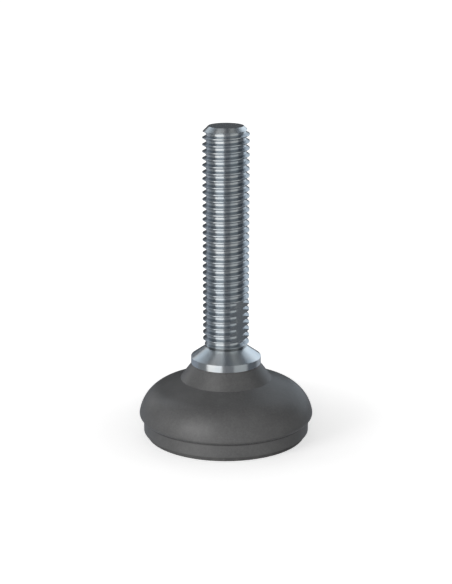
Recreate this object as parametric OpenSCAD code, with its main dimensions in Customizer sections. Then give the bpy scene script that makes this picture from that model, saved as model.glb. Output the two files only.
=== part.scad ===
// Levelling foot for machines: a threaded stud whose ball end snaps into a moulded base
// with a rubber grip pad. Millimetres, +Z up. The origin is on the floor, on the stud's axis.

/* [Threaded stud] */
// Major diameter of the M12 thread
thread_d = 11.96; // [11.7:0.01:12]
// Length of the stud above the collar's rim
stud_length = 60.27; // [30:0.01:120]
// Diameter of the stud's flat tip, inside its lead-in chamfer
tip_d = 9; // [7:0.1:11]
// Diameter where the thread's lower chamfer meets the collar
thread_foot_d = 10.1; // [9:0.1:11]

/* [Spanner flats] */
// Width across the two flats
flats_af = 10; // [8:0.1:11]
// Length of the flats along the stud
flats_length = 11; // [6:0.5:16]
// Full thread between the lower chamfer and the flats
flats_rise = 1; // [0.2:0.05:5]
// Direction that the first flat faces, counted from +X
flats_turn = -45; // [-180:1:180]

/* [Ball end] */
// Diameter of the ball
ball_d = 13; // [11:0.1:14]
// Height of the turned flat cut off the bottom of the ball
ball_flat = 0.3; // [0.1:0.05:1]
// Diameter of the neck between the ball and the collar
neck_d = 8.6; // [7:0.1:9.4]
// Radius where the neck runs into the collar
neck_fillet = 0.8; // [0.3:0.1:1.5]

/* [Collar] */
// Outer diameter of the collar
collar_d = 18.2; // [17.8:0.1:22]
// Height of the collar's lower edge above the centre of the ball
collar_rise = 8.5; // [8:0.1:10]
// Height of the collar's upright rim
collar_rim_h = 1.79; // [1:0.01:3]
// Rounding of the rim's upper edge
collar_edge_r = 0.2; // [0.1:0.05:0.8]
// Steepness of the cone on top of the collar
collar_slope = 35.5; // [25:0.5:45]

/* [Moulded base] */
// Largest diameter of the base
base_d = 45.4; // [42:0.1:60]
// Rounding of the base's edge at its largest diameter
base_edge_r = 1.16; // [0.5:0.01:2]
// Diameter of the skirt under the dome
skirt_d = 43.2; // [40:0.1:44]
// Height of the skirt that shows below the dome
skirt_h = 3.5; // [2:0.1:8]
// Wall of the skirt
skirt_wall = 3; // [2:0.1:4]
// Radius of the dome's shoulder
dome_r = 9.2; // [7:0.1:11]
// Fall of the dome below level where it leaves the boss
dome_slope = 22.7; // [15:0.1:30]
// Wall of the dome
dome_wall = 3; // [2:0.1:4]
// Diameter of the boss at its foot, where it meets the dome
boss_foot_d = 23.8; // [22:0.1:26]
// Diameter of the boss at its top edge
boss_top_d = 17.6; // [16.5:0.1:18]
// Steepness of the boss's flank
boss_slope = 53; // [45:1:60]

/* [Moulded underside] */
// Wall of the cup around the ball
cup_wall = 3; // [2:0.1:4]
// Floor of the cup between the ball and the grip pad
cup_floor = 1.6; // [1.2:0.1:3]
// Number of radial ribs
rib_count = 8; // [4:1:16]
// Thickness of the radial ribs
rib_t = 1.8; // [1:0.1:2.5]

/* [Grip pad] */
// Diameter of the pad's lip below the skirt
pad_d = 41.6; // [39:0.1:43]
// Height of the lip
pad_lip_h = 1.3; // [0.8:0.1:3]
// Rounding of the lip's lower edge
pad_edge_r = 0.25; // [0.1:0.05:0.6]
// Height of the spigot that plugs into the skirt
pad_spigot_h = 1.5; // [1.2:0.1:3]
// Radius of the bead that holds the spigot in the skirt
bead_r = 0.5; // [0.3:0.05:0.6]
// Depth of the skirt's V groove for the bead
bead_groove = 0.65; // [0.4:0.05:0.8]
// Number of ring grooves in the tread
tread_rings = 3; // [1:1:5]
// Width of a ring groove
tread_w = 1.2; // [0.6:0.1:2]
// Depth of a ring groove
tread_depth = 0.6; // [0.3:0.1:0.9]
// Distance from one ring groove to the next
tread_pitch = 4.6; // [3:0.1:6]

/* [Snap ring] */
// Diameter of the ring's spring wire
wire_d = 1.2; // [0.8:0.1:1.4]
// Diameter of the relaxed ring, through the middle of its wire
ring_d = 13.1; // [12.6:0.1:14]
// Opening between the ends of the ring
ring_opening = 40; // [20:1:70]

/* [Fits] */
// Gap between the ball and its seat
seat_gap = 0.08; // [0.02:0.01:0.1]
// Gap between the collar and the domed top of the boss
collar_gap = 0.25; // [0.2:0.05:0.5]
// Gap between the ring's wire and the ball or its groove
ring_gap = 0.08; // [0.05:0.01:0.2]
// Gap around the pad's spigot
pad_gap = 0.15; // [0.05:0.05:0.3]
// Lead-in chamfer at the mouth of the ball's seat
mouth_chamfer = 0.5; // [0.2:0.1:0.8]

/* [Hidden] */
$fn = 96;
// What a cutter runs past the faces that it cuts
past = 1;

// The stack of heights, from the floor up
skirt_z = pad_lip_h;
pad_top = pad_lip_h + pad_spigot_h;
ball_r = ball_d / 2;
seat_r = ball_r + seat_gap;
ball_z = pad_top + cup_floor + seat_r;

// The collar is hollowed to a sphere about the centre of the ball, so that it tilts over the
// boss. Its top is a cone, and the rounding between rim and cone touches both.
collar_r = collar_d / 2;
collar_under_r = norm([collar_r, collar_rise]);
rim_top_z = ball_z + collar_rise + collar_rim_h;
collar_edge_c = [
    collar_r - collar_edge_r,
    rim_top_z - collar_edge_r * (1 - sin(collar_slope)) / cos(collar_slope)
];

// The stud above the collar
thread_r = thread_d / 2;
thread_foot_r = thread_foot_d / 2;
thread_foot_z = rim_top_z + (collar_r - thread_foot_r) * tan(collar_slope);
thread_start_z = thread_foot_z + thread_r - thread_foot_r;
stud_top = rim_top_z + stud_length;
thread_end_z = stud_top - (thread_r - tip_d / 2);
neck_r = neck_d / 2;
neck_top_z = ball_z + sqrt(pow(collar_under_r, 2) - pow(neck_r, 2));

// The boss, whose domed top clears the collar
boss_cap_r = collar_under_r - collar_gap;
boss_top = [boss_top_d / 2, ball_z + sqrt(pow(boss_cap_r, 2) - pow(boss_top_d / 2, 2))];
boss_foot = [boss_foot_d / 2, boss_top.y - (boss_foot_d - boss_top_d) / 2 * tan(boss_slope)];

// The dome: a straight fall from the boss, a shoulder arc and an edge rounding, each tangent to
// the next. The shoulder's centre is dome_r below the fall and reaches the edge's own centre.
skirt_r = skirt_d / 2;
edge_c = [base_d / 2 - base_edge_r, skirt_z + skirt_h + base_edge_r];
fall = [cos(dome_slope), -sin(dome_slope)];
fall_up = [sin(dome_slope), cos(dome_slope)];
edge_from_fall = edge_c - boss_foot + dome_r * fall_up;
fall_length = edge_from_fall * fall
    - sqrt(pow(dome_r - base_edge_r, 2) - pow(edge_from_fall * fall_up, 2));
dome_c = boss_foot + fall_length * fall - dome_r * fall_up;
edge_dir = atan2(edge_c.x - dome_c.x, edge_c.y - dome_c.y);

// The hollow under the dome
cup_r = seat_r + cup_wall;
bay_r = skirt_r - skirt_wall;
bead_z = skirt_z + pad_spigot_h / 2;

// The snap ring sits above the ball's equator, one gap from the ball
wire_r = wire_d / 2;
ring_z = ball_z + sqrt(pow(ball_r + ring_gap + wire_r, 2) - pow(ring_d / 2, 2));
groove_r = ball_r + wire_d + ring_gap;
groove_h = wire_d + 2 * ring_gap;

function toward(dir, distance) = distance * [sin(dir), cos(dir)];

// Slice of a disc between two directions, counted from straight up
module slice(centre, r, from, to) {
    translate(centre) intersection() {
        circle(r);
        polygon([[0, 0], toward(from, 2 * r), toward((from + to) / 2, 2 * r), toward(to, 2 * r)]);
    }
}

module right_half() {
    intersection() {
        children();
        translate([0, -past]) square([base_d, stud_top + 2 * past]);
    }
}

module collar_section() {
    difference() {
        union() {
            polygon([
                [0, ball_z],
                [collar_r, ball_z],
                [collar_r, collar_edge_c.y],
                collar_edge_c + toward(collar_slope, collar_edge_r),
                [thread_foot_r, thread_foot_z],
                [0, thread_foot_z]
            ]);
            translate(collar_edge_c) circle(collar_edge_r);
        }
        translate([0, ball_z]) circle(collar_under_r);
    }
}

// The neck's fillet touches both the neck and the collar's hollow face
module neck_section() {
    fillet_c = [
        neck_r + neck_fillet,
        ball_z + sqrt(pow(collar_under_r - neck_fillet, 2) - pow(neck_r + neck_fillet, 2))
    ];
    touch_x = fillet_c.x * collar_under_r / (collar_under_r - neck_fillet);
    translate([0, ball_z]) square([neck_r, neck_top_z - ball_z]);
    difference() {
        translate([0, fillet_c.y]) square([touch_x, neck_top_z - fillet_c.y]);
        translate(fillet_c) circle(neck_fillet);
    }
}

module ball_section() {
    difference() {
        translate([0, ball_z]) circle(ball_r);
        translate([-ball_r, ball_z - ball_r - past]) square([ball_d, past + ball_flat]);
    }
}

module shank_section() {
    polygon([
        [0, thread_foot_z - past],
        [thread_foot_r, thread_foot_z - past],
        [thread_foot_r, thread_foot_z],
        [thread_r, thread_start_z],
        [thread_r, thread_end_z],
        [tip_d / 2, stud_top],
        [0, stud_top]
    ]);
}

module spanner_flats() {
    for (side = [0, 180])
        rotate(flats_turn + side)
            translate([flats_af / 2, -thread_d, thread_start_z + flats_rise])
                cube([thread_d, 2 * thread_d, flats_length]);
}

module threaded_stud() {
    color("lightsteelblue") difference() {
        rotate_extrude() right_half() {
            ball_section();
            neck_section();
            collar_section();
            shank_section();
        }
        spanner_flats();
    }
}

module base_outline() {
    polygon([
        [0, skirt_z],
        [skirt_r, skirt_z],
        [skirt_r, edge_c.y],
        edge_c,
        dome_c + toward(edge_dir, dome_r),
        dome_c + toward(dome_slope, dome_r),
        boss_foot,
        boss_top,
        [0, boss_top.y]
    ]);
    slice(dome_c, dome_r, dome_slope, edge_dir);
    slice(edge_c, base_edge_r, edge_dir, 180);
    intersection() {
        translate([0, ball_z]) circle(boss_cap_r);
        translate([0, boss_foot.y]) square([boss_top.x, collar_under_r]);
    }
}

// Seat of the ball, its open mouth and the groove of the snap ring
module ball_seat() {
    translate([0, 0, ball_z]) sphere(seat_r);
    translate([0, 0, ball_z]) cylinder(r = seat_r, h = collar_under_r);
    translate([0, 0, ring_z - groove_h / 2]) cylinder(r = groove_r, h = groove_h);
    mouth_z = ball_z + sqrt(pow(boss_cap_r, 2) - pow(seat_r + mouth_chamfer, 2));
    translate([0, 0, mouth_z - mouth_chamfer])
        cylinder(r1 = seat_r, r2 = seat_r + mouth_chamfer + past, h = mouth_chamfer + past);
}

// Hollow between the cup, the skirt and the dome, in section
module bay_section() {
    inner_r = dome_r - dome_wall;
    ceiling = dome_c + toward(dome_slope, inner_r);
    ceiling_z = ceiling.y + (ceiling.x - cup_r) * tan(dome_slope);
    intersection() {
        union() {
            polygon([[0, 0], [bay_r, 0], [bay_r, dome_c.y], ceiling, [cup_r, ceiling_z], [0, ceiling_z]]);
            slice(dome_c, inner_r, dome_slope, 90);
        }
        translate([cup_r, skirt_z]) square([bay_r - cup_r, base_d]);
    }
}

module underside_bays() {
    difference() {
        rotate_extrude() bay_section();
        for (i = [0 : rib_count - 1])
            rotate(360 * i / rib_count)
                translate([0, -rib_t / 2, 0]) cube([base_d, rib_t, base_d]);
    }
}

module pad_recess() {
    translate([0, 0, skirt_z - past]) cylinder(r = bay_r, h = pad_top - skirt_z + past);
    rotate_extrude() translate([bay_r, bead_z]) rotate(45) square(sqrt(2) * bead_groove, center = true);
}

module foot_base() {
    color("dimgray") difference() {
        rotate_extrude() base_outline();
        ball_seat();
        underside_bays();
        pad_recess();
    }
}

module grip_pad() {
    pad_r = pad_d / 2;
    spigot_r = bay_r - pad_gap;
    color([0.3, 0.3, 0.31]) rotate_extrude() difference() {
        union() {
            translate([0, pad_edge_r]) square([pad_r, pad_lip_h - pad_edge_r]);
            square([pad_r - pad_edge_r, pad_lip_h]);
            translate([pad_r - pad_edge_r, pad_edge_r]) circle(pad_edge_r);
            square([spigot_r, pad_top]);
            translate([spigot_r, bead_z]) circle(bead_r);
        }
        for (i = [1 : tread_rings])
            translate([i * tread_pitch, -past]) square([tread_w, past + tread_depth]);
    }
}

module snap_ring() {
    color("silver") translate([0, 0, ring_z])
        rotate(90 + ring_opening / 2)
            rotate_extrude(angle = 360 - ring_opening)
                translate([ring_d / 2, 0]) circle(wire_r, $fn = 32);
}

threaded_stud();
foot_base();
grip_pad();
snap_ring();
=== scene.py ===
# %% [markdown]
# # A levelling foot for machines
# This lesson dresses a machine foot that was first built as exact solids. A steel stud stands
# on a ball in a moulded plastic base, and a rubber pad closes the base from below. The solids
# give every size. Blender adds what makes the eye believe them: a real helical thread, bright
# zinc plating, the grain of moulded plastic and soft studio light.

import math

import bpy
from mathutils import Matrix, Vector


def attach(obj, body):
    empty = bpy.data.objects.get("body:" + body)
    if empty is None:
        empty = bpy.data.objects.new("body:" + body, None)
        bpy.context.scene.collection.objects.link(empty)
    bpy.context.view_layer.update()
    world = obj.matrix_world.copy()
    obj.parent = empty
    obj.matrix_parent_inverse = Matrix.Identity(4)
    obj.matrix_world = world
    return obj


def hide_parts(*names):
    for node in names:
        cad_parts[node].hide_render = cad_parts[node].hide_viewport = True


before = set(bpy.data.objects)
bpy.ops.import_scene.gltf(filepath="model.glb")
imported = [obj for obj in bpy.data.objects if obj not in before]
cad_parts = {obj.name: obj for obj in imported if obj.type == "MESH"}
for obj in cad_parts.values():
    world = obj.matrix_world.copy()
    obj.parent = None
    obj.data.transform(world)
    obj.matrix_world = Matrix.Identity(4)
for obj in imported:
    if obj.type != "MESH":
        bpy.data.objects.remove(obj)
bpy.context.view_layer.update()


# %% [markdown]
# ## Sizes
# The drawing is in millimetres and Blender works in metres, so one factor turns the one into
# the other. These are the sizes of the turned and threaded stud. They repeat the drawing,
# because the new stud has to sit exactly where the solid one is.

# %% Sizes of the stud
MM = 0.001
BALL_Z = 10.98
BALL_R = 6.5
BALL_FLAT = 0.3
NECK_R = 4.3
NECK_FILLET = 0.8
COLLAR_R = 9.1
COLLAR_UNDER_R = 12.45
COLLAR_EDGE_R = 0.2
COLLAR_SLOPE = math.radians(35.5)
RIM_TOP_Z = 21.27
THREAD_R = 5.98
THREAD_FOOT_R = 5.05
THREAD_FOOT_Z = RIM_TOP_Z + (COLLAR_R - THREAD_FOOT_R) * math.tan(COLLAR_SLOPE)
THREAD_FOOT_FILLET = 0.25
TIP_R = 4.5
STUD_TOP = 81.54
PITCH = 1.75
FRONT_CREST_Z = 79.0
# the flats are 9.8 mm across, the low end of what a 10 mm spanner takes; the solid has 10 mm
FLATS_R = 4.9
FLATS_Z = (26.089, 37.089)
FLATS_TURN = -45
print("stud:", STUD_TOP, "mm to the tip, foot of the thread at", round(THREAD_FOOT_Z, 2), "mm")

# %% [markdown]
# ## The camera
# The picture is looked at from 371 mm in front of the foot and 142 mm above the floor, with a
# long lens that looks about 16 degrees down. A long lens keeps the upright stud nearly
# parallel, as in a catalogue picture.

# %% Camera
FOCAL_PIXELS = 1496.77
PICTURE_PIXELS = 584
SENSOR_HEIGHT = 36
CAMERA_AWAY = 371.07
CAMERA_UP = 142.48
CAMERA_DOWN = 0.2735

eye = bpy.data.cameras.new("catalogue_camera")
eye.sensor_fit = "VERTICAL"
eye.sensor_height = SENSOR_HEIGHT
eye.lens = FOCAL_PIXELS / PICTURE_PIXELS * SENSOR_HEIGHT
camera = bpy.data.objects.new("catalogue_camera", eye)
camera.location = (0, -CAMERA_AWAY * MM, CAMERA_UP * MM)
camera.rotation_euler = (math.pi / 2 - CAMERA_DOWN, 0, 0)
bpy.context.scene.collection.objects.link(camera)
bpy.context.scene.camera = camera
print("lens:", round(eye.lens, 2), "mm, looks down", round(math.degrees(CAMERA_DOWN), 1), "degrees")

# %% [markdown]
# ## Colours and nodes
# Screens store colours in sRGB, and a renderer adds light in linear values, so one function
# turns a hex colour into linear. A second one adds a node with its settings, inputs and links,
# and every finish below is made with it.

# %% Helpers for finishes
def linear(hex_colour):
    channels = [int(hex_colour[i : i + 2], 16) / 255 for i in (1, 3, 5)]
    bent = [c / 12.92 if c <= 0.04045 else ((c + 0.055) / 1.055) ** 2.4 for c in channels]
    return (*bent, 1.0)


def add_node(tree, kind, links=None, inputs=None, **settings):
    """An input is a value, or a colour as hex. A link starts at an output, or at a node, which
    stands for its first output in use."""
    node = tree.nodes.new(kind)
    for name, value in settings.items():
        setattr(node, name, value)
    for name, value in (inputs or {}).items():
        node.inputs[name].default_value = linear(value) if isinstance(value, str) else value
    for name, source in (links or {}).items():
        if isinstance(source, bpy.types.Node):
            source = next(socket for socket in source.outputs if socket.enabled)
        tree.links.new(source, node.inputs[name])
    return node


def new_finish(name):
    finish = bpy.data.materials.new(name)
    finish.use_nodes = True
    finish.node_tree.nodes.clear()
    return finish, finish.node_tree


print("mid grey #808080 is", round(linear("#808080")[0], 3), "of white in linear light")

# %% [markdown]
# ## The studio
# The foot stands on white paper that runs up behind it, as in a catalogue. The camera and the
# shiny metal see that paper as pure white. Rays that light the matt parts see a dimmer room
# instead, so the base keeps its shading.

# %% World
ROOM = 0.12
WHITE = 1.0

scene = bpy.context.scene
scene.view_settings.view_transform = "Standard"
world = bpy.data.worlds.new("studio")
scene.world = world
world.use_nodes = True
sky = world.node_tree
sky.nodes.clear()
path = add_node(sky, "ShaderNodeLightPath")
seen = add_node(sky, "ShaderNodeMath", operation="MAXIMUM", links={
    0: path.outputs["Is Camera Ray"], 1: path.outputs["Is Glossy Ray"]})
seen = add_node(sky, "ShaderNodeMath", operation="MAXIMUM", links={
    0: seen, 1: path.outputs["Is Transmission Ray"]})
room = add_node(sky, "ShaderNodeBackground", inputs={"Color": "#FFFFFF", "Strength": ROOM})
paper = add_node(sky, "ShaderNodeBackground", inputs={"Color": "#FFFFFF", "Strength": WHITE})
both = add_node(sky, "ShaderNodeMixShader", links={0: seen, 1: room, 2: paper})
add_node(sky, "ShaderNodeOutputWorld", links={0: both})
print("world:", world.name, "nodes:", len(sky.nodes))

# %% [markdown]
# The floor is a matt white disc, so it takes the soft shadow under the foot. Away from the foot
# it is lifted to pure white for the camera, so that no edge shows where the paper ends. A camera
# below the floor looks straight through it, so the tread of the pad can be checked too.

# %% Floor
FLOOR_RADIUS = 4.0
FLOOR_BELOW = 0.02 * MM

bpy.ops.mesh.primitive_circle_add(
    vertices=96, radius=FLOOR_RADIUS, fill_type="NGON", location=(0, 0, -FLOOR_BELOW))
floor = bpy.context.object
floor.name = "studio_floor"
print("floor:", floor.name, "across:", round(floor.dimensions.x, 2), "m")

# %% [markdown]
# The paper is plain matt white. What the camera gets on top of it grows from the skirt of the
# foot, 22 mm from the axis, to 75 mm, where the paper is pure white.

# %% White paper
LIFT_FROM = 22 * MM
LIFT_TO = 75 * MM

finish, tree = new_finish("white_paper")
path = add_node(tree, "ShaderNodeLightPath")
paper = add_node(tree, "ShaderNodeBsdfDiffuse", inputs={"Color": "#F3F3F3"})
place = add_node(tree, "ShaderNodeTexCoord")
away = add_node(tree, "ShaderNodeVectorMath", operation="LENGTH", links={
    0: place.outputs["Object"]})
fade = add_node(tree, "ShaderNodeMapRange", links={"Value": away}, inputs={
    "From Min": LIFT_FROM, "From Max": LIFT_TO, "To Min": 0.6, "To Max": 0.95})
lift = add_node(tree, "ShaderNodeMath", operation="MULTIPLY", links={
    0: path.outputs["Is Camera Ray"], 1: fade})
glow = add_node(tree, "ShaderNodeEmission", inputs={"Color": "#FFFFFF"}, links={"Strength": lift})
both = add_node(tree, "ShaderNodeAddShader", links={0: paper, 1: glow})
side = add_node(tree, "ShaderNodeNewGeometry")
below = add_node(tree, "ShaderNodeMath", operation="MULTIPLY", links={
    0: path.outputs["Is Camera Ray"], 1: side.outputs["Backfacing"]})
clear = add_node(tree, "ShaderNodeBsdfTransparent")
open_below = add_node(tree, "ShaderNodeMixShader", links={0: below, 1: both, 2: clear})
add_node(tree, "ShaderNodeOutputMaterial", links={0: open_below})
floor.data.materials.append(finish)
floor.visible_glossy = False
print(finish.name, "nodes:", len(tree.nodes))

# %% [markdown]
# ## Lamps
# Two soft boxes stand low at the front left and under the camera, so the steep sides of the base
# are lighter than its top, and the left side is lighter than the right. Weak ones at the two
# sides and one high behind the foot open up its far edges. Azimuth 0 points at the camera and
# grows to the right.

# %% Soft boxes
BOX_DISTANCE = 0.6
BOX_SIZE = 0.25
BOX_AIM = Vector((0, 0, 0.02))


def toward(azimuth, elevation=0.0):
    turn, lift = math.radians(azimuth - 90), math.radians(elevation)
    level = math.cos(lift)
    return Vector((math.cos(turn) * level, math.sin(turn) * level, math.sin(lift)))


def soft_box(name, azimuth, elevation, power, size=BOX_SIZE):
    lamp = bpy.data.lights.new(name, "AREA")
    lamp.shape = "SQUARE"
    lamp.size = size
    lamp.energy = power
    box = bpy.data.objects.new(name, lamp)
    out = toward(azimuth, elevation)
    box.location = out * BOX_DISTANCE + BOX_AIM
    box.rotation_euler = out.to_track_quat("Z", "Y").to_euler()
    box.visible_camera = False
    box.visible_glossy = False
    scene.collection.objects.link(box)
    print(name, "at", azimuth, "degrees,", power, "W")
    return box


soft_box("front_left_box", azimuth=-48, elevation=14, power=1.35)
soft_box("front_box", azimuth=0, elevation=10, power=1.35)
soft_box("left_box", azimuth=-90, elevation=12, power=0.32)
soft_box("right_box", azimuth=90, elevation=12, power=0.28)
soft_box("back_box", azimuth=180, elevation=60, power=0.14)

# %% [markdown]
# The moulded base shows a soft sheen on its left shoulder. Metal would show the same lamp as a
# burnt-out stripe, so a photographer flags it off the metal. Here light linking does that: the
# box reaches only the objects of one collection, and only by reflection.

# %% Sheen on the base
moulded = bpy.data.collections.new("moulded_parts")
for name in ("foot_base", "grip_pad"):
    moulded.objects.link(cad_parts[name])
sheen = soft_box("sheen_box", azimuth=-40, elevation=24, power=0.58, size=0.34)
sheen.visible_glossy = True
sheen.visible_diffuse = False
sheen.light_linking.receiver_collection = moulded

# %% [markdown]
# ## Cards for the metal
# Bright metal shows what stands around it, so a photographer puts dark and grey cards between
# it and the white paper. Each card here is a board that glows evenly and that only reflections
# can see. It is no lamp, because matt surfaces get no light from it.

# %% A board for reflections
def only_reflected(board, colour):
    finish, tree = new_finish(board.name)
    glow = add_node(tree, "ShaderNodeEmission", inputs={"Color": colour})
    add_node(tree, "ShaderNodeOutputMaterial", links={0: glow})
    finish.cycles.emission_sampling = "NONE"
    board.data.materials.append(finish)
    for rays in ("camera", "diffuse", "shadow", "transmission", "volume_scatter"):
        setattr(board, "visible_" + rays, False)
    print(board.name, colour)


# %% [markdown]
# The upright cards stand in a ring 0.6 m away, side by side. Each row gives a card's left and
# right edge and its lower and upper edge in degrees, as seen from the foot, and its colour. The
# white one at the front left makes the white band that runs down the stud, and the two dark ones
# beside it give that band its edges. The cards reach far down, because blurred reflections do.

# %% Upright cards
CARD_DISTANCE = 0.6
CARD_CENTRE_Z = 0.04
LOW = -66


def upright_card(name, start, end, bottom, top, colour):
    half = math.radians((end - start) / 2)
    low, high = [CARD_DISTANCE * math.tan(math.radians(lift)) for lift in (bottom, top)]
    middle = toward((start + end) / 2)
    bpy.ops.mesh.primitive_plane_add(size=1)
    board = bpy.context.object
    board.name = name
    board.dimensions = (2 * CARD_DISTANCE * math.tan(half), high - low, 0)
    board.rotation_euler = middle.to_track_quat("Z", "Y").to_euler()
    board.location = middle * CARD_DISTANCE + Vector((0, 0, (low + high) / 2 + CARD_CENTRE_Z))
    only_reflected(board, colour)


for row in (
    ("card_left_dark", -102, -64, LOW, 70, "#74777A"),
    ("card_white", -64, -12.5, LOW, 62, "#FFFFFF"),
    ("card_front_dark", -12.5, 26, LOW, 70, "#76777A"),
    ("card_right_grey", 26, 74, LOW, 70, "#ABADAD"),
    ("card_right_dark", 74, 122, LOW, 60, "#5B5E63"),
    ("card_right_low", 122, 166, LOW, -5, "#8F9298"),
    ("card_back_right", 122, 166, -5, 53, "#DEE9F3"),
    ("card_back", 166, 200, LOW, 50, "#515356"),
    ("card_left_low", -160, -102, LOW, 8, "#8A8F98"),
    ("card_back_left_dark", -160, -145, 8, 50, "#515356"),
    ("card_back_left", -145, -122, 20, 56, "#D8E2EB"),
    ("card_left_high", -122, -102, 8, 60, "#5B5E63"),
):
    upright_card(*row)

# %% [markdown]
# The top of the collar looks up, and the underside of its rim looks down. A dark ceiling with a
# lighter strip in it makes the grey wedges on the collar, and a dark board below keeps the white
# paper out of the rim's lower edge. Each row gives a board's left and right edge, its height
# and its depth in metres.

# %% Level cards
def level_card(name, left, right, height, depth, colour):
    bpy.ops.mesh.primitive_plane_add(size=1, location=((left + right) / 2, 0, height))
    board = bpy.context.object
    board.name = name
    board.dimensions = (right - left, depth, 0)
    only_reflected(board, colour)


for row in (
    ("card_ceiling", -1.7, 1.7, 1.7, 3.4, "#3F4246"),
    ("card_ceiling_left", -0.45, -0.05, 1.65, 3.3, "#616366"),
    ("card_low", -0.7, 0.7, -1.3, 1.4, "#2E3033"),
):
    level_card(*row)

# %% [markdown]
# ## An outline to turn
# A lathe part is a flat outline swung round its axis. The outline is drawn as a chain: a plane is
# merged into one point, and the point is extruded again and again. Then the Spin tool swings it
# round, the doubles on the axis are merged, and the normals are turned outwards.

# %% Draw an outline
def only(piece):
    if bpy.context.object and bpy.context.object.mode == "EDIT":
        bpy.ops.object.mode_set(mode="OBJECT")
    bpy.ops.object.select_all(action="DESELECT")
    piece.select_set(True)
    bpy.context.view_layer.objects.active = piece


def draw_outline(name, points):
    bpy.ops.object.select_all(action="DESELECT")
    bpy.ops.mesh.primitive_plane_add(size=0.001)
    outline = bpy.context.object
    outline.name = outline.data.name = name
    bpy.ops.object.mode_set(mode="EDIT")
    bpy.ops.mesh.select_mode(type="VERT")
    bpy.ops.mesh.select_all(action="SELECT")
    bpy.ops.mesh.merge(type="CENTER")
    last = (0, 0)
    for i, point in enumerate(points):
        step = {"value": ((point[0] - last[0]) * MM, 0, (point[1] - last[1]) * MM)}
        if i == 0:
            bpy.ops.transform.translate(**step)
        else:
            bpy.ops.mesh.extrude_region_move(TRANSFORM_OT_translate=step)
        last = point
    bpy.ops.object.mode_set(mode="OBJECT")
    print(name, "outline:", len(outline.data.vertices), "points")
    return outline

# %% [markdown]
# The Spin tool turns the outline about the upright axis, and an arc gives the outline a rounded
# stretch. Points nearer to each other than 0.002 mm are one point.

# %% Spin it round
TOUCHING = 0.002 * MM


def swing(outline, steps, start=0.0):
    only(outline)
    bpy.ops.object.mode_set(mode="EDIT")
    bpy.ops.mesh.select_all(action="SELECT")
    turned = {"center_override": (0, 0, 0), "orient_axis": "Z"}
    bpy.ops.transform.rotate(value=start, **turned)
    bpy.ops.mesh.spin(steps=steps, angle=2 * math.pi, center=(0, 0, 0), axis=(0, 0, 1))
    bpy.ops.mesh.select_all(action="SELECT")
    bpy.ops.mesh.remove_doubles(threshold=TOUCHING)
    bpy.ops.mesh.normals_make_consistent(inside=False)
    bpy.ops.object.mode_set(mode="OBJECT")
    print(outline.name, "faces:", len(outline.data.polygons))
    return outline


def arc(centre, radius, start, end, steps):
    """Points on a circle, from one angle to another in degrees, counted from straight up."""
    turns = [math.radians(start + (end - start) * i / steps) for i in range(steps + 1)]
    return [(centre[0] + radius * math.sin(t), centre[1] + radius * math.cos(t)) for t in turns]


print("a quarter of a circle:", [(round(x, 2), round(z, 2)) for x, z in arc((0, 0), 1, 0, 90, 2)])

# %% [markdown]
# ## Ball, neck and collar
# On the real stud these are turned in one go. The outline starts at the flat under the ball and
# goes up the ball to the neck, round a fillet and out along the hollow face of the collar. That
# face is a sphere about the centre of the ball, so the collar swings over the boss like a shield.

# %% Outline from the ball to the rim
centre = (0, BALL_Z)
fillet_x = NECK_R + NECK_FILLET
fillet_rise = math.sqrt((COLLAR_UNDER_R - NECK_FILLET) ** 2 - fillet_x**2)
fillet_turn = math.degrees(math.atan2(fillet_x, fillet_rise))
foot_turn = math.degrees(math.acos((BALL_FLAT - BALL_R) / BALL_R))
neck_turn = math.degrees(math.asin(NECK_R / BALL_R))
rim_turn = math.degrees(math.asin(COLLAR_R / COLLAR_UNDER_R))

body_outline = [(0, BALL_Z - BALL_R + BALL_FLAT)]
body_outline += arc(centre, BALL_R, foot_turn, neck_turn, 30)
body_outline += arc((fillet_x, BALL_Z + fillet_rise), NECK_FILLET, 270, 360 + fillet_turn, 8)
# the fillet ends on this sphere, so the next point is 3 degrees further on
body_outline += arc(centre, COLLAR_UNDER_R, fillet_turn + 3, rim_turn, 10)
print("ball to rim:", len(body_outline), "points")

# %% [markdown]
# The rim stands upright and its top edge is barely rounded. From there a cone of 35.5 degrees
# climbs to the foot of the thread, with a small fillet in the corner. The outline goes on a
# little way inside the thread, so that the two overlap where they are joined.

# %% Outline from the rim to the thread
OVERLAP = 0.6
slope_turn = math.degrees(COLLAR_SLOPE)
edge_x = COLLAR_R - COLLAR_EDGE_R
edge_z = RIM_TOP_Z - COLLAR_EDGE_R * (1 - math.sin(COLLAR_SLOPE)) / math.cos(COLLAR_SLOPE)
corner_rise = THREAD_FOOT_FILLET * math.tan((math.pi / 2 - COLLAR_SLOPE) / 2)
corner = (THREAD_FOOT_R + THREAD_FOOT_FILLET, THREAD_FOOT_Z + corner_rise)

body_outline += arc((edge_x, edge_z), COLLAR_EDGE_R, 90, slope_turn, 5)
body_outline += arc(corner, THREAD_FOOT_FILLET, 180 + slope_turn, 270, 5)
body_outline += [(THREAD_FOOT_R, THREAD_FOOT_Z + OVERLAP), (0, THREAD_FOOT_Z + OVERLAP)]
stud = swing(draw_outline("levelling_stud", body_outline), 160)

# %% [markdown]
# ## The thread
# The thread is M12 with a pitch of 1.75 mm. One tooth is drawn in the standard proportions: a
# flat crest an eighth of the pitch wide, a flat root a quarter wide, and flanks at 60 degrees to
# each other. The Screw modifier carries it up a right-hand helix, exactly as a thread roller
# leaves it, in 35 turns, from inside the collar to past the tip.

# %% Helical thread
TURNS = 35
THREAD_STEPS = 128
tooth_depth = 5 / 8 * PITCH * math.sqrt(3) / 2
root_r = THREAD_R - tooth_depth
crest_half = PITCH / 16
root_half = PITCH / 8
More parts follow.
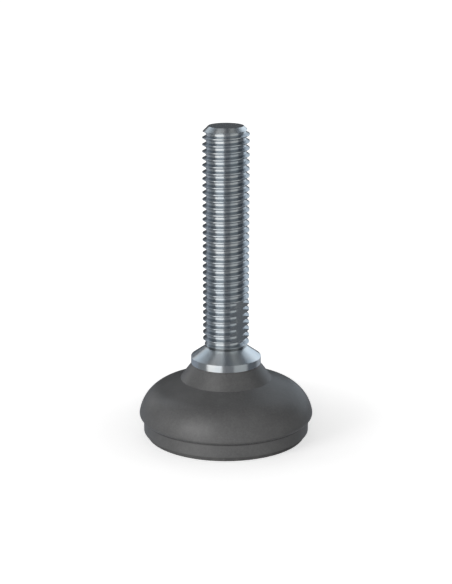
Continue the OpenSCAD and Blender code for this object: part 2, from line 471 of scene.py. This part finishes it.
# 33 turns below the crest at the top of the front; the front is a quarter turn from the start
start_z = FRONT_CREST_Z + PITCH / 4 - 33 * PITCH
thread = draw_outline("thread", [
    (root_r, start_z - PITCH / 2),
    (root_r, start_z - PITCH / 2 + root_half),
    (THREAD_R, start_z - crest_half),
    (THREAD_R, start_z + crest_half),
    (root_r, start_z + PITCH / 2 - root_half),
    (root_r, start_z + PITCH / 2),
])
screw = thread.modifiers.new("thread", "SCREW")
screw.axis = "Z"
screw.screw_offset = PITCH * MM
screw.iterations = TURNS
screw.steps = screw.render_steps = THREAD_STEPS
screw.use_normal_calculate = True
only(thread)
bpy.ops.object.modifier_apply(modifier="thread")
print("thread:", round(tooth_depth, 3), "mm deep, faces:", len(thread.data.polygons))

# %% [markdown]
# The tube is open at both ends. The open edges of one end are picked by their height, extruded
# and gathered to one point, which closes it, and then the other end. Last come the normals.

# %% Close both ends
bpy.ops.object.mode_set(mode="EDIT")
bpy.ops.mesh.select_all(action="SELECT")
bpy.ops.mesh.remove_doubles(threshold=TOUCHING)
bpy.ops.mesh.select_mode(type="EDGE")
half_way = (start_z + TURNS * PITCH / 2) * MM
for lower in (True, False):
    bpy.ops.mesh.select_all(action="DESELECT")
    bpy.ops.mesh.select_non_manifold(extend=False)
    bpy.ops.object.mode_set(mode="OBJECT")
    points = thread.data.vertices
    open_edges = [edge for edge in thread.data.edges if edge.select]
    for point in points:
        point.select = False
    for edge in open_edges:
        edge.select = (points[edge.vertices[0]].co.z < half_way) == lower
        for end in edge.vertices:
            points[end].select = points[end].select or edge.select
    bpy.ops.object.mode_set(mode="EDIT")
    bpy.ops.mesh.extrude_edges_move()
    bpy.ops.mesh.merge(type="CENTER")
bpy.ops.mesh.select_all(action="SELECT")
bpy.ops.mesh.normals_make_consistent(inside=False)
bpy.ops.object.mode_set(mode="OBJECT")
print("closed thread, faces:", len(thread.data.polygons))

# %% [markdown]
# A crest at the right stands a quarter of the pitch higher than the one at the front, because
# the thread is right-handed.

# %% Measure the crests
CREST_NEAR = 0.001
BESIDE = 0.02 * MM
crest = [v.co for v in thread.data.vertices if math.hypot(v.co.x, v.co.y) > (THREAD_R - CREST_NEAR) * MM]
front = sorted(c.z / MM for c in crest if c.y < 0 and abs(c.x) < BESIDE)
right = sorted(c.z / MM for c in crest if c.x > 0 and abs(c.y) < BESIDE)
print("front crests:", [round(z, 3) for z in front[:4]], "right:", [round(z, 3) for z in right[:4]])

# %% [markdown]
# ## Chamfers, flats and one piece of steel
# The thread is cut to length by a turned blank with a 45 degree chamfer at each end, as on the
# lathe. Boolean modifiers do this cut and the ones after it. Between its chamfers the blank
# stands 0.42 mm outside the thread, so it takes nothing off there. Its lower end reaches 1 mm
# into the collar.

# %% Cut to length
def combine(piece, other, operation):
    only(piece)
    cut = piece.modifiers.new(operation, "BOOLEAN")
    cut.operation = operation
    cut.solver = "EXACT"
    cut.object = other
    bpy.ops.object.modifier_apply(modifier=operation)
    bpy.data.objects.remove(other)
    print(piece.name, operation.lower(), "faces:", len(piece.data.polygons))


BLANK_PROUD = 0.42
BLANK_BELOW = 1
blank_r = THREAD_R + BLANK_PROUD
blank_outline = [
    (0, THREAD_FOOT_Z - BLANK_BELOW),
    (THREAD_FOOT_R - BLANK_BELOW, THREAD_FOOT_Z - BLANK_BELOW),
    (blank_r, THREAD_FOOT_Z + blank_r - THREAD_FOOT_R),
    (blank_r, STUD_TOP - blank_r + TIP_R),
    (TIP_R, STUD_TOP),
    (0, STUD_TOP),
]
blank = swing(draw_outline("thread_blank", blank_outline), 128, start=math.radians(1))
combine(thread, blank, "INTERSECT")

# %% [markdown]
# Two blocks cut the spanner flats, as a mill does, one on each side.

# %% Spanner flats
for side in (0, 180):
    turn = math.radians(FLATS_TURN + side)
    away = FLATS_R + THREAD_R
    middle = [away * math.cos(turn) * MM, away * math.sin(turn) * MM, sum(FLATS_Z) / 2 * MM]
    bpy.ops.mesh.primitive_cube_add(size=1, location=middle, rotation=(0, 0, turn))
    block = bpy.context.object
    block.dimensions = (2 * THREAD_R * MM, 4 * THREAD_R * MM, (FLATS_Z[1] - FLATS_Z[0]) * MM)
    bpy.ops.object.transform_apply(location=True, rotation=True, scale=True)
    combine(thread, block, "DIFFERENCE")

# %% [markdown]
# Last, the thread and the turned body become one solid, shaded smooth except at edges sharper
# than 28 degrees. It rides with the stud's body and stands for the solid stud, which stays in the
# physics.

# %% Join and hand over
combine(stud, thread, "UNION")
only(stud)
bpy.ops.object.shade_smooth_by_angle(angle=math.radians(28))
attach(stud, "stud")
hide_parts("threaded_stud")
print(stud.name, "size:", [round(side / MM, 2) for side in stud.dimensions], "mm")

# %% [markdown]
# ## Where a pattern sits
# The lathe leaves its marks in rings, so two points with the same radius and the same height
# look alike. A few nodes turn the object's own coordinates into radius and height, and every
# pattern on turned steel reads them. Sizes are typed in millimetres, and a pattern's scale is
# one over the size of its marks in metres.
#
# A little of the sideways place is mixed in, so that no ring is perfectly even all the way round.

# %% Radius and height
DRIFT = 0.004


def turned_place(tree):
    """Object coordinates, and a vector of radius, a slight drift round the piece, and height."""
    place = add_node(tree, "ShaderNodeTexCoord").outputs["Object"]
    flat = add_node(tree, "ShaderNodeVectorMath", operation="MULTIPLY",
                    links={0: place}, inputs={1: (1, 1, 0)})
    radius = add_node(tree, "ShaderNodeVectorMath", operation="LENGTH", links={0: flat})
    parts = add_node(tree, "ShaderNodeSeparateXYZ", links={0: place})
    drift = add_node(tree, "ShaderNodeMath", operation="MULTIPLY",
                     links={0: parts.outputs["Y"]}, inputs={1: DRIFT})
    rings = add_node(tree, "ShaderNodeCombineXYZ", links={
        "X": radius, "Y": drift, "Z": parts.outputs["Z"]})
    return place, rings.outputs[0]


print("drift round the piece:", DRIFT)

# %% [markdown]
# Some values come back in every finish, so they get names: the scale of a pattern, the four
# numbers of a ramp, also over a distance in mm, the smooth kind of ramp, the colour kind of mix
# and its two colour inputs.
# The values of a noise lie mostly between 0.3 and 0.7, so ramps start and end there.

# %% Values for patterns
def per_mm(size):
    return 1 / (size * MM)


def ramp(low, high, start, end):
    return {"From Min": low, "From Max": high, "To Min": start, "To Max": end}


def ramp_mm(low, high, start, end):
    return ramp(low * MM, high * MM, start, end)


SMOOTH = {"interpolation_type": "SMOOTHSTEP"}
COLOUR = {"data_type": "RGBA"}
A, B = 6, 7
WIDE = (0.3, 0.7)
NARROW = (0.35, 0.65)
print("marks of 0.25 mm have a scale of", round(per_mm(0.25)))

# %% [markdown]
# ## Bright zinc on turned steel
# The stud is mild steel, turned and rolled, with a thin bright zinc plating under a clear, bluish
# passivation. To the eye it is almost a mirror, but the fine marks run round it, so they
# smear every reflection along the stud: the studio shows as straight upright bands, and on the
# collar as wedges that point at its centre. A plain metal shader shows a small curved room
# instead. So the shader is anisotropic, and its tangent runs round the Z axis.
#
# The passivation drifts between white and a faint blue, in soft patches of about 6 mm.

# %% Zinc: colour of the plating
finish, tree = new_finish("zinc_plated_steel")
place, rings = turned_place(tree)
patches = add_node(tree, "ShaderNodeTexNoise", links={"Vector": place}, inputs={
    "Scale": per_mm(6), "Detail": 3.0, "Roughness": 0.5})
clouds = add_node(tree, "ShaderNodeMapRange", **SMOOTH, links={"Value": patches},
                  inputs=ramp(*NARROW, 0, 1))
plating = add_node(tree, "ShaderNodeMix", **COLOUR, links={0: clouds},
                   inputs={A: "#EEF2F3", B: "#E2EAEF"})
print(finish.name, "plating nodes:", len(tree.nodes))

# %% [markdown]
# The flanks of the thread, between the root at 5.03 mm and the crest at 5.98 mm, get a darker colour,
# and only along the thread. This is painted shade in the grooves: it darkens the light that goes back
# and forth between neighbouring flanks.

# %% Zinc: painted shade on the flanks
at = add_node(tree, "ShaderNodeSeparateXYZ", links={0: rings})
over_root = add_node(tree, "ShaderNodeMapRange", **SMOOTH, links={"Value": at.outputs["X"]},
                     inputs=ramp_mm(5.06, 5.16, 0, 1))
under_crest = add_node(tree, "ShaderNodeMapRange", **SMOOTH, links={"Value": at.outputs["X"]},
                       inputs=ramp_mm(5.84, 5.94, 1, 0))
above_foot = add_node(tree, "ShaderNodeMapRange", **SMOOTH, links={"Value": at.outputs["Z"]},
                      inputs=ramp_mm(24.9, 25.3, 0, 1))
below_tip = add_node(tree, "ShaderNodeMapRange", **SMOOTH, links={"Value": at.outputs["Z"]},
                     inputs=ramp_mm(79.9, 80.1, 1, 0))
flank_shade = over_root
for edge in (under_crest, above_foot, below_tip):
    flank_shade = add_node(tree, "ShaderNodeMath", operation="MULTIPLY", links={0: flank_shade, 1: edge})
# painted shade: the flanks in the grooves get a darker zinc colour
plating = add_node(tree, "ShaderNodeMix", **COLOUR, links={0: flank_shade, A: plating},
                   inputs={B: "#BFC6CC"})
print("flanks:", round(tooth_depth, 2), "mm deep")

# %% [markdown]
# The fillet in the corner under the thread gets a thin dark line of painted shade, where the thread
# stands on the collar. Away from the fillet it fades over one more fillet radius.

# %% Zinc: painted shade in the corner under the thread
from_corner = add_node(tree, "ShaderNodeVectorMath", operation="DISTANCE", links={0: rings},
                       inputs={1: (corner[0] * MM, 0, corner[1] * MM)})
corner_shade = add_node(tree, "ShaderNodeMapRange", **SMOOTH, links={
    "Value": from_corner}, inputs=ramp_mm(THREAD_FOOT_FILLET, 2 * THREAD_FOOT_FILLET, 0.55, 0))
# painted shade: a thin dark line on the fillet under the thread
plating = add_node(tree, "ShaderNodeMix", **COLOUR, links={0: corner_shade, A: plating},
                   inputs={B: "#353B42"})
print("corner at", [round(v, 2) for v in corner], "mm")

# %% [markdown]
# Turning marks are about 0.1 mm apart on the real stud; here they are 0.25 mm, so that they
# show. Barrel plating knocks the pieces together and leaves small soft nicks about 2 mm apart.
# Both change the gloss a little and stand a hair's breadth off the surface.

# %% Zinc: marks, nicks and gloss
marks = add_node(tree, "ShaderNodeTexNoise", links={"Vector": rings}, inputs={
    "Scale": per_mm(0.25), "Detail": 2.0, "Roughness": 0.5})
knocks = add_node(tree, "ShaderNodeTexVoronoi", links={"Vector": place}, inputs={
    "Scale": per_mm(2.0), "Randomness": 1.0})
nicks = add_node(tree, "ShaderNodeMapRange", **SMOOTH, links={
    "Value": knocks}, inputs=ramp(0, 0.09, 1, 0))
dull = add_node(tree, "ShaderNodeMapRange", **SMOOTH, links={"Value": marks},
                inputs=ramp(*WIDE, 0.28, 0.31))
gloss = add_node(tree, "ShaderNodeMath", operation="MULTIPLY_ADD", inputs={1: 0.08},
                 links={0: nicks, 2: dull})
relief = add_node(tree, "ShaderNodeBump", links={"Height": marks}, inputs={
    "Strength": 1.0, "Distance": 0.0006 * MM})
relief = add_node(tree, "ShaderNodeBump", links={"Height": nicks, "Normal": relief}, inputs={
    "Strength": 1.0, "Distance": -0.004 * MM})
around = add_node(tree, "ShaderNodeTangent", direction_type="RADIAL", axis="Z")
skin = add_node(tree, "ShaderNodeBsdfPrincipled", links={
    "Base Color": plating, "Roughness": gloss, "Normal": relief, "Tangent": around},
    inputs={"Metallic": 1.0, "Anisotropic": 0.9, "Anisotropic Rotation": 0.25})
add_node(tree, "ShaderNodeOutputMaterial", links={0: skin})
stud.data.materials.append(finish)
print(finish.name, "nodes:", len(tree.nodes))

# %% [markdown]
# ## Milled flats and faced end
# A cutter sweeps straight across the two spanner flats, and the end of the stud is faced off.
# These places are flat, so they show one even piece of the room. They get the same plating
# with an even gloss and straight cutter marks. The marks run level across the flats, 0.3 mm
# apart; the real ones are nearer to 0.15 mm.

# %% Zinc-plated milled steel
finish, tree = new_finish("zinc_plated_milled_steel")
place = add_node(tree, "ShaderNodeTexCoord").outputs["Object"]
patches = add_node(tree, "ShaderNodeTexNoise", links={"Vector": place}, inputs={
    "Scale": per_mm(5), "Detail": 3.0, "Roughness": 0.5})
clouds = add_node(tree, "ShaderNodeMapRange", **SMOOTH, links={"Value": patches},
                  inputs=ramp(*NARROW, 0, 1))
plating = add_node(tree, "ShaderNodeMix", **COLOUR, links={0: clouds},
                   inputs={A: "#F0F4F4", B: "#E6ECEE"})
straight = add_node(tree, "ShaderNodeMapping", links={"Vector": place}, inputs={
    "Scale": (0.03, 0.03, 1.0)})
cuts = add_node(tree, "ShaderNodeTexNoise", links={"Vector": straight}, inputs={
    "Scale": per_mm(0.3), "Detail": 1.0, "Roughness": 0.5})
gloss = add_node(tree, "ShaderNodeMapRange", **SMOOTH, links={"Value": cuts},
                 inputs=ramp(*WIDE, 0.16, 0.22))
relief = add_node(tree, "ShaderNodeBump", links={"Height": cuts}, inputs={
    "Strength": 1.0, "Distance": 0.003 * MM})
skin = add_node(tree, "ShaderNodeBsdfPrincipled", inputs={"Metallic": 1.0}, links={
    "Base Color": plating, "Roughness": gloss, "Normal": relief})
add_node(tree, "ShaderNodeOutputMaterial", links={0: skin})
stud.data.materials.append(finish)
print(finish.name, "nodes:", len(tree.nodes))

# %% [markdown]
# The second finish goes into a second slot of the stud. Its faces are picked by their normal and
# by their place, to within 0.01 mm.

# %% Faces of the flats and the end
flat_way = Vector((math.cos(math.radians(FLATS_TURN)), math.sin(math.radians(FLATS_TURN)), 0))
for face in stud.data.polygons:
    faces_out = abs(face.normal.dot(flat_way)) > 0.9999
    on_plane = abs(abs(face.center.dot(flat_way)) - FLATS_R * MM) < 0.01 * MM
    on_end = face.normal.z > 0.999 and face.center.z > (STUD_TOP - 0.01) * MM
    face.material_index = 1 if faces_out and on_plane or on_end else 0
print("flat faces:", sum(face.material_index for face in stud.data.polygons))

# %% [markdown]
# ## Glass-filled polyamide
# The base is injection moulded from polyamide with about a third of short glass fibres, which
# makes it stiff enough for a machine. The mould is spark eroded, so the skin has a fine even
# grain that scatters light: matt, dark grey, with one soft highlight. Under the grain the
# fibres leave faint flow clouds. A real grain of this kind is about 0.2 mm; here it is drawn
# 0.45 mm wide, because a finer one would be lost in the picture.

# %% Moulded base: colour
finish, tree = new_finish("glass_filled_polyamide")
place, rings = turned_place(tree)
grain = add_node(tree, "ShaderNodeTexNoise", links={"Vector": place}, inputs={
    "Scale": per_mm(0.45), "Detail": 2.0, "Roughness": 0.6})
flow = add_node(tree, "ShaderNodeTexNoise", links={"Vector": place}, inputs={
    "Scale": per_mm(7), "Detail": 3.0, "Roughness": 0.5})
fibre = add_node(tree, "ShaderNodeTexNoise", links={"Vector": place}, inputs={
    "Scale": per_mm(1.3), "Detail": 2.0, "Roughness": 0.5})
clouds = add_node(tree, "ShaderNodeMapRange", **SMOOTH, links={"Value": flow},
                  inputs=ramp(*NARROW, 0, 1))
streaks = add_node(tree, "ShaderNodeMapRange", **SMOOTH, links={"Value": fibre},
                   inputs=ramp(0.45, 0.8, 0, 0.5))
pits = add_node(tree, "ShaderNodeMapRange", **SMOOTH, links={"Value": grain},
                inputs=ramp(*NARROW, 0.3, 0))
tone = add_node(tree, "ShaderNodeMix", **COLOUR, links={0: clouds},
                inputs={A: "#606060", B: "#666666"})
tone = add_node(tree, "ShaderNodeMix", **COLOUR, links={0: streaks, A: tone},
                inputs={B: "#6C6C6B"})
tone = add_node(tree, "ShaderNodeMix", **COLOUR, links={0: pits, A: tone},
                inputs={B: "#4E4E4E"})
print(finish.name, "colour nodes:", len(tree.nodes))

# %% [markdown]
# The corner where the skirt meets the overhanging edge above it, 4.8 mm above the floor, gets a dark
# line of painted shade. The grain gives the skin its relief, and the fibres under it a weaker one.

# %% Moulded base: painted shade under the edge, and grain
SKIRT_CORNER = (21.6, 4.8)


def dress(node, finish):
    """Gives a solid one finish for all its faces."""
    node.data.materials.clear()
    node.data.materials.append(finish)


from_lip = add_node(tree, "ShaderNodeVectorMath", operation="DISTANCE", links={0: rings},
                    inputs={1: (SKIRT_CORNER[0] * MM, 0, SKIRT_CORNER[1] * MM)})
lip_shade = add_node(tree, "ShaderNodeMapRange", **SMOOTH, links={
    "Value": from_lip}, inputs=ramp_mm(0.15, 0.5, 0.75, 0))
# painted shade: a dark line in the corner under the overhanging edge
tone = add_node(tree, "ShaderNodeMix", **COLOUR, links={0: lip_shade, A: tone},
                inputs={B: "#262626"})
gloss = add_node(tree, "ShaderNodeMapRange", **SMOOTH, links={"Value": grain},
                 inputs=ramp(*WIDE, 0.34, 0.44))
relief = add_node(tree, "ShaderNodeBump", links={"Height": grain}, inputs={
    "Strength": 0.6, "Distance": 0.022 * MM})
relief = add_node(tree, "ShaderNodeBump", links={"Height": fibre, "Normal": relief}, inputs={
    "Strength": 0.4, "Distance": 0.02 * MM})
skin = add_node(tree, "ShaderNodeBsdfPrincipled", inputs={"IOR": 1.55}, links={
    "Base Color": tone, "Roughness": gloss, "Normal": relief})
add_node(tree, "ShaderNodeOutputMaterial", links={0: skin})
dress(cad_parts["foot_base"], finish)
print(finish.name, "nodes:", len(tree.nodes))

# %% [markdown]
# ## Nitrile rubber
# The pad is moulded from oil-resistant rubber. It is a little darker than the base and duller,
# with no highlight at all, and a thin bloom of talc and wax lies on it in uneven clouds.

# %% Rubber pad
finish, tree = new_finish("nitrile_rubber")
place = add_node(tree, "ShaderNodeTexCoord").outputs["Object"]
bloom = add_node(tree, "ShaderNodeTexNoise", links={"Vector": place}, inputs={
    "Scale": per_mm(3.5), "Detail": 4.0, "Roughness": 0.6})
talc = add_node(tree, "ShaderNodeTexNoise", links={"Vector": place}, inputs={
    "Scale": per_mm(0.5), "Detail": 2.0, "Roughness": 0.5})
clouds = add_node(tree, "ShaderNodeMapRange", **SMOOTH, links={"Value": bloom},
                  inputs=ramp(0.4, 0.7, 0, 1))
specks = add_node(tree, "ShaderNodeMapRange", **SMOOTH, links={"Value": talc},
                  inputs=ramp(0.55, 0.75, 0, 0.3))
tone = add_node(tree, "ShaderNodeMix", **COLOUR, links={0: clouds},
                inputs={A: "#505050", B: "#5C5C5B"})
tone = add_node(tree, "ShaderNodeMix", **COLOUR, links={0: specks, A: tone},
                inputs={B: "#747472"})
gloss = add_node(tree, "ShaderNodeMapRange", **SMOOTH, links={"Value": bloom},
                 inputs=ramp(*WIDE, 0.65, 0.8))
relief = add_node(tree, "ShaderNodeBump", links={"Height": talc}, inputs={
    "Strength": 0.4, "Distance": 0.02 * MM})
skin = add_node(tree, "ShaderNodeBsdfPrincipled", inputs={"IOR": 1.52}, links={
    "Base Color": tone, "Roughness": gloss, "Normal": relief})
add_node(tree, "ShaderNodeOutputMaterial", links={0: skin})
dress(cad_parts["grip_pad"], finish)
print(finish.name, "nodes:", len(tree.nodes))

# %% [markdown]
# ## Drawn spring wire
# The snap ring is bent from spring wire. Drawing pulls the wire through a die and leaves fine
# lines along it, with a thin film of oil. The lines follow the ring, so they change with radius
# and height only, as the turning marks do.

# %% Snap ring
finish, tree = new_finish("drawn_spring_wire")
place, rings = turned_place(tree)
lines = add_node(tree, "ShaderNodeTexNoise", links={"Vector": rings}, inputs={
    "Scale": per_mm(0.12), "Detail": 2.0, "Roughness": 0.5})
oil = add_node(tree, "ShaderNodeTexNoise", links={"Vector": place}, inputs={
    "Scale": per_mm(2), "Detail": 2.0, "Roughness": 0.5})
film = add_node(tree, "ShaderNodeMapRange", **SMOOTH, links={"Value": oil},
                inputs=ramp(*NARROW, 0, 1))
tone = add_node(tree, "ShaderNodeMix", **COLOUR, links={0: film},
                inputs={A: "#C4C4C2", B: "#B4B2AE"})
gloss = add_node(tree, "ShaderNodeMapRange", **SMOOTH, links={"Value": lines},
                 inputs=ramp(*WIDE, 0.24, 0.36))
relief = add_node(tree, "ShaderNodeBump", links={"Height": lines}, inputs={
    "Strength": 1.0, "Distance": 0.003 * MM})
skin = add_node(tree, "ShaderNodeBsdfPrincipled", inputs={"Metallic": 1.0}, links={
    "Base Color": tone, "Roughness": gloss, "Normal": relief})
add_node(tree, "ShaderNodeOutputMaterial", links={0: skin})
dress(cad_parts["snap_ring"], finish)
print(finish.name, "nodes:", len(tree.nodes))
